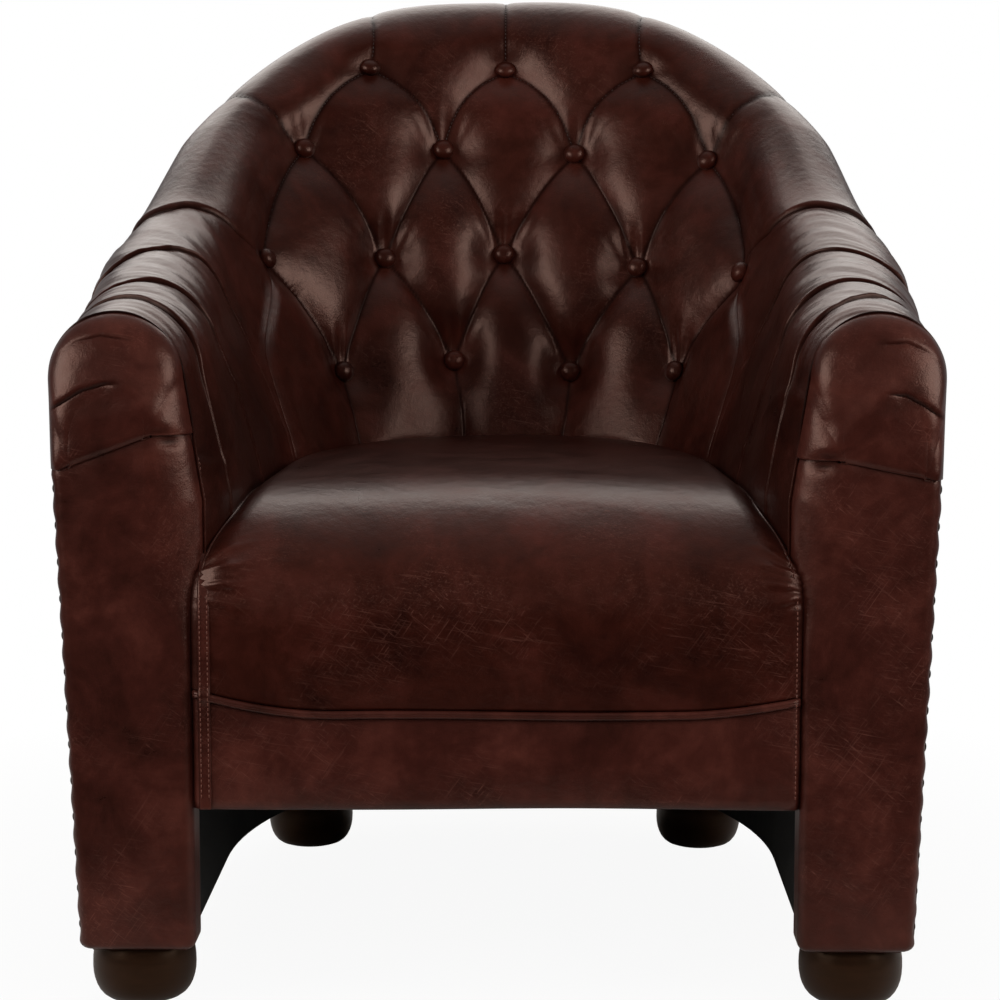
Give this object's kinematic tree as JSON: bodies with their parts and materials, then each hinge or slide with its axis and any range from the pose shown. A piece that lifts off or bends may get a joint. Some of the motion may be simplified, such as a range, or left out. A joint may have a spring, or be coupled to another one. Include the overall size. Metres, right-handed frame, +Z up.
{
  "type": "tub chair",
  "caption": "Leather tub chair with a buttoned curved back that sweeps down into pleated rolled arms, a tight crowned seat and dark bun feet.",
  "frame": {"origin": "on the floor, under the middle of the chair's footprint box", "axes": "+Z up, -Y is the way the sitter faces, +X to the right as seen from the front"},
  "size_m": [0.7312, 0.7602, 0.8682],
  "materials": {
    "leather": "waxed burgundy brown leather, satin, with darker mottling and fine pale scratches",
    "foot_wood": "near-black stained hardwood, satin lacquer",
    "frame_timber": "planed beech, unfinished",
    "plywood": "birch plywood, sawn, unfinished",
    "fibreboard": "bent hardboard, smooth brown face",
    "foam": "cut polyurethane foam",
    "felt": "grey needled felt",
    "webbing": "woven elastic webbing",
    "black_lining": "black spun-bonded lining cloth",
    "spring_steel": "oiled spring wire",
    "zinc_steel": "bright zinc plated steel",
    "nail_brass": "antiqued dark brown nail heads"
  },
  "bodies": {
    "root": {"arm_cap_cover_left": "leather", "arm_cap_cover_right": "leather", "arm_cap_foam_left": "foam", "arm_cap_foam_right": "foam", "arm_cover_left": "leather", "arm_cover_right": "leather", "arm_foam_left": "foam", "arm_foam_right": "foam", "arm_post_left": "frame_timber", "arm_post_right": "frame_timber", "arm_rail_left": "plywood", "arm_rail_right": "plywood", "back_cover": "leather", "back_foam": "foam", "back_post": "frame_timber", "back_webbing": "webbing", "base_hoop": "plywood", "base_lining": "black_lining", "corner_blocks": "frame_timber", "crest_rail": "plywood", "dust_cover": "black_lining", "facing_board_left": "plywood", "facing_board_right": "plywood", "facing_cover_left": "leather", "facing_cover_right": "leather", "facing_foam_left": "foam", "facing_foam_right": "foam", "foot_bolts": "zinc_steel", "foot_front_left": "foot_wood", "foot_front_right": "foot_wood", "foot_inserts": "zinc_steel", "foot_rear_left": "foot_wood", "foot_rear_right": "foot_wood", "frame_dowels": "frame_timber", "frame_screws": "zinc_steel", "front_band_cover": "leather", "front_band_foam": "foam", "outer_panel_back": "fibreboard", "outer_panel_left": "fibreboard", "outer_panel_right": "fibreboard", "outside_cover_back": "leather", "outside_cover_left": "leather", "outside_cover_right": "leather", "rear_post_left": "frame_timber", "rear_post_right": "frame_timber", "seat_back_rail": "frame_timber", "seat_cover": "leather", "seat_foam": "foam", "seat_front_rail": "frame_timber", "seat_side_rail_left": "frame_timber", "seat_side_rail_right": "frame_timber", "seat_springs": "spring_steel", "seat_welt": "leather", "side_post_left": "frame_timber", "side_post_right": "frame_timber", "spring_clips": "zinc_steel", "spring_felt": "felt", "trim_nails": "nail_brass", "tuft_buttons": "leather"}
  },
  "joints": []
}
